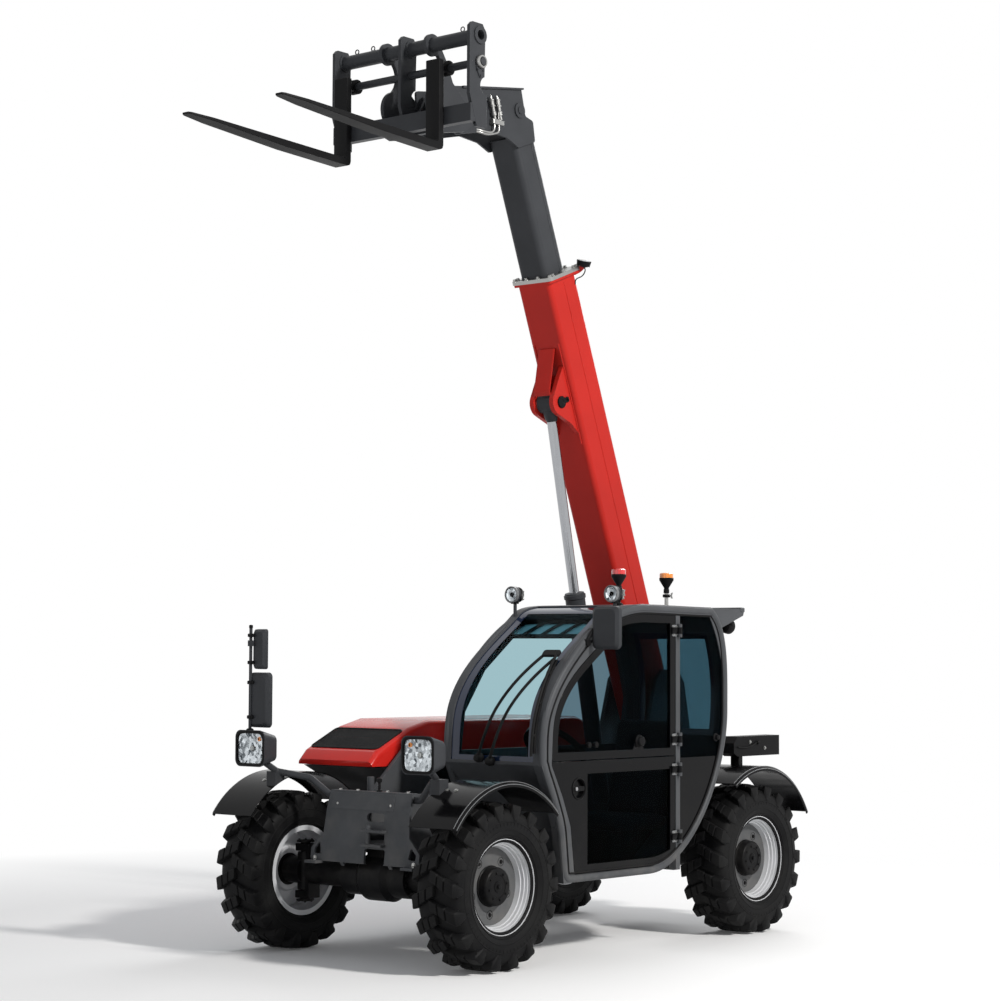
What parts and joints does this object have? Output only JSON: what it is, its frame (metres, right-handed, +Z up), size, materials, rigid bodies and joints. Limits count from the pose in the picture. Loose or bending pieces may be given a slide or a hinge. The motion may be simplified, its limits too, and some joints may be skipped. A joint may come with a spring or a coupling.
{
  "type": "telehandler",
  "caption": "Compact telescopic handler with a raised two-section boom, pallet forks on a carriage, an offset cab with a split door and four steered wheels",
  "frame": {"origin": "on the ground, under the middle of the machine's overall box", "axes": "+X forward, +Y to the machine's left, +Z up"},
  "size_m": [4.011, 1.96, 5.0993],
  "materials": {
    "boom_red": "gloss red paint",
    "hood_red": "gloss red moulding",
    "dark_grey": "satin dark grey paint",
    "frame_grey": "satin grey paint",
    "black_gloss": "gloss black moulding",
    "black_matte": "matt black",
    "axle_black": "black painted casting",
    "rim_silver": "silver paint",
    "tyre_rubber": "black rubber",
    "rod_chrome": "polished rod",
    "pin_steel": "bare steel",
    "tinted_glass": "blue green tinted glass",
    "seat_fabric": "dark seat cover",
    "beacon_amber": "amber lens"
  },
  "bodies": {
    "chassis": {"chassis_frame": "frame_grey", "boom_pin": "pin_steel", "front_plate": "frame_grey", "front_axle": "axle_black", "rear_axle": "axle_black", "front_fenders": "black_gloss", "rear_fenders": "black_gloss", "cab_frame": "frame_grey", "windshield": "tinted_glass", "cab_windows": "tinted_glass", "quarter_window": "tinted_glass", "quarter_panel": "black_gloss", "seat": "seat_fabric", "console": "black_matte", "engine_bay": "black_matte", "engine_block": "axle_black", "headlamps": "dark_grey", "mirrors": "dark_grey", "work_lamps": "dark_grey", "beacons": "beacon_amber", "tail_lamps": "black_matte"},
    "boom": {"boom_outer": "boom_red", "boom_collar": "dark_grey"},
    "boom_slide": {"boom_inner": "dark_grey", "boom_head": "dark_grey"},
    "lift_barrel": {"lift_barrel": "dark_grey"},
    "lift_rod": {"lift_rod": "rod_chrome"},
    "tilt_barrel": {"tilt_barrel": "dark_grey"},
    "tilt_rod": {"tilt_rod": "rod_chrome"},
    "carrier": {"tool_carrier": "dark_grey", "fork_carriage": "dark_grey"},
    "fork_left": {"fork_left": "black_matte"},
    "fork_right": {"fork_right": "black_matte"},
    "door_lower": {"door_lower": "black_gloss", "door_lower_glass": "tinted_glass"},
    "door_upper": {"door_upper": "black_gloss", "door_upper_glass": "tinted_glass"},
    "hood": {"hood": "hood_red", "hood_grille": "black_matte"},
    "steer_front_left": {"knuckle_front_left": "axle_black"},
    "wheel_front_left": {"tyre_front_left": "tyre_rubber", "rim_front_left": "rim_silver"},
    "steer_front_right": {"knuckle_front_right": "axle_black"},
    "wheel_front_right": {"tyre_front_right": "tyre_rubber", "rim_front_right": "rim_silver"},
    "steer_rear_left": {"knuckle_rear_left": "axle_black"},
    "wheel_rear_left": {"tyre_rear_left": "tyre_rubber", "rim_rear_left": "rim_silver"},
    "steer_rear_right": {"knuckle_rear_right": "axle_black"},
    "wheel_rear_right": {"tyre_rear_right": "tyre_rubber", "rim_rear_right": "rim_silver"}
  },
  "joints": [
    {"name": "steer_front_left", "type": "hinge", "parent": "chassis", "child": "steer_front_left", "pos_m": [0.869, 0.52, 0.44], "axis": [0, 0, 1], "range_deg": [-35, 35]},
    {"name": "wheel_front_left", "type": "hinge", "parent": "steer_front_left", "child": "wheel_front_left", "pos_m": [0.869, 0.65, 0.44], "axis": [0, 1, 0], "continuous": true},
    {"name": "steer_front_right", "type": "hinge", "parent": "chassis", "child": "steer_front_right", "pos_m": [0.869, -0.68, 0.44], "axis": [0, 0, 1], "range_deg": [-35, 35]},
    {"name": "wheel_front_right", "type": "hinge", "parent": "steer_front_right", "child": "wheel_front_right", "pos_m": [0.869, -0.81, 0.44], "axis": [0, 1, 0], "continuous": true},
    {"name": "steer_rear_left", "type": "hinge", "parent": "chassis", "child": "steer_rear_left", "pos_m": [-1.489, 0.52, 0.44], "axis": [0, 0, 1], "range_deg": [-35, 35]},
    {"name": "wheel_rear_left", "type": "hinge", "parent": "steer_rear_left", "child": "wheel_rear_left", "pos_m": [-1.489, 0.65, 0.44], "axis": [0, 1, 0], "continuous": true},
    {"name": "steer_rear_right", "type": "hinge", "parent": "chassis", "child": "steer_rear_right", "pos_m": [-1.489, -0.68, 0.44], "axis": [0, 0, 1], "range_deg": [-35, 35]},
    {"name": "wheel_rear_right", "type": "hinge", "parent": "steer_rear_right", "child": "wheel_rear_right", "pos_m": [-1.489, -0.81, 0.44], "axis": [0, 1, 0], "continuous": true},
    {"name": "boom_lift", "type": "hinge", "parent": "chassis", "child": "boom", "pos_m": [-1.51, -0.08, 1.45], "axis": [0, 1, 0], "range_deg": [0, 71.9]},
    {"name": "boom_extend", "type": "slide", "parent": "boom", "child": "boom_slide", "axis": [0.36, 0, 0.933], "range_m": [-0.75, 1.15]},
    {"name": "lift_barrel_turn", "type": "hinge", "parent": "chassis", "child": "lift_barrel", "pos_m": [-1.09, -0.08, 0.65], "axis": [0, 1, 0], "range_deg": [-0.5, 62.73]},
    {"name": "lift_rod_slide", "type": "slide", "parent": "lift_barrel", "child": "lift_rod", "axis": [0.2107, 0, 0.9776], "range_m": [-1.0085, 0.002]},
    {"name": "carriage_tilt", "type": "hinge", "parent": "boom_slide", "child": "carrier", "pos_m": [0.43999, -0.08, 4.66534], "axis": [0, -1, 0], "range_deg": [-50, 80]},
    {"name": "tilt_barrel_turn", "type": "hinge", "parent": "boom_slide", "child": "tilt_barrel", "pos_m": [-0.11701, -0.08, 4.81934], "axis": [0, -1, 0], "range_deg": [-3, 3]},
    {"name": "tilt_rod_slide", "type": "slide", "parent": "tilt_barrel", "child": "tilt_rod", "axis": [0.9994, 0, -0.0347], "range_m": [-0.165, 0.105]},
    {"name": "fork_left_shift", "type": "slide", "parent": "carrier", "child": "fork_left", "axis": [0, 1, 0], "range_m": [-0.21, 0.155]},
    {"name": "fork_right_shift", "type": "slide", "parent": "carrier", "child": "fork_right", "axis": [0, 1, 0], "range_m": [-0.02, 0.35]},
    {"name": "door_lower_swing", "type": "hinge", "parent": "chassis", "child": "door_lower", "pos_m": [-0.665, 0.794, 0.81], "axis": [0, 0, 1], "range_deg": [0, 95]},
    {"name": "door_upper_swing", "type": "hinge", "parent": "chassis", "child": "door_upper", "pos_m": [-0.665, 0.794, 1.48], "axis": [0, 0, 1], "range_deg": [0, 170]},
    {"name": "hood_tilt", "type": "hinge", "parent": "chassis", "child": "hood", "pos_m": [-1.224, -0.58, 1.006], "axis": [0, -1, 0], "range_deg": [0, 55]}
  ],
  "couplings": [
    {"joint": "steer_front_right", "follows": "steer_front_left", "ratio": 1},
    {"joint": "steer_rear_right", "follows": "steer_rear_left", "ratio": 1},
    {"joint": "lift_barrel_turn", "follows": "boom_lift", "ratio": 0.86546},
    {"joint": "lift_rod_slide", "follows": "boom_lift", "m_per_rad": -0.80209},
    {"joint": "tilt_barrel_turn", "follows": "carriage_tilt", "ratio": -0.023858},
    {"joint": "tilt_rod_slide", "follows": "carriage_tilt", "m_per_rad": -0.11106}
  ]
}
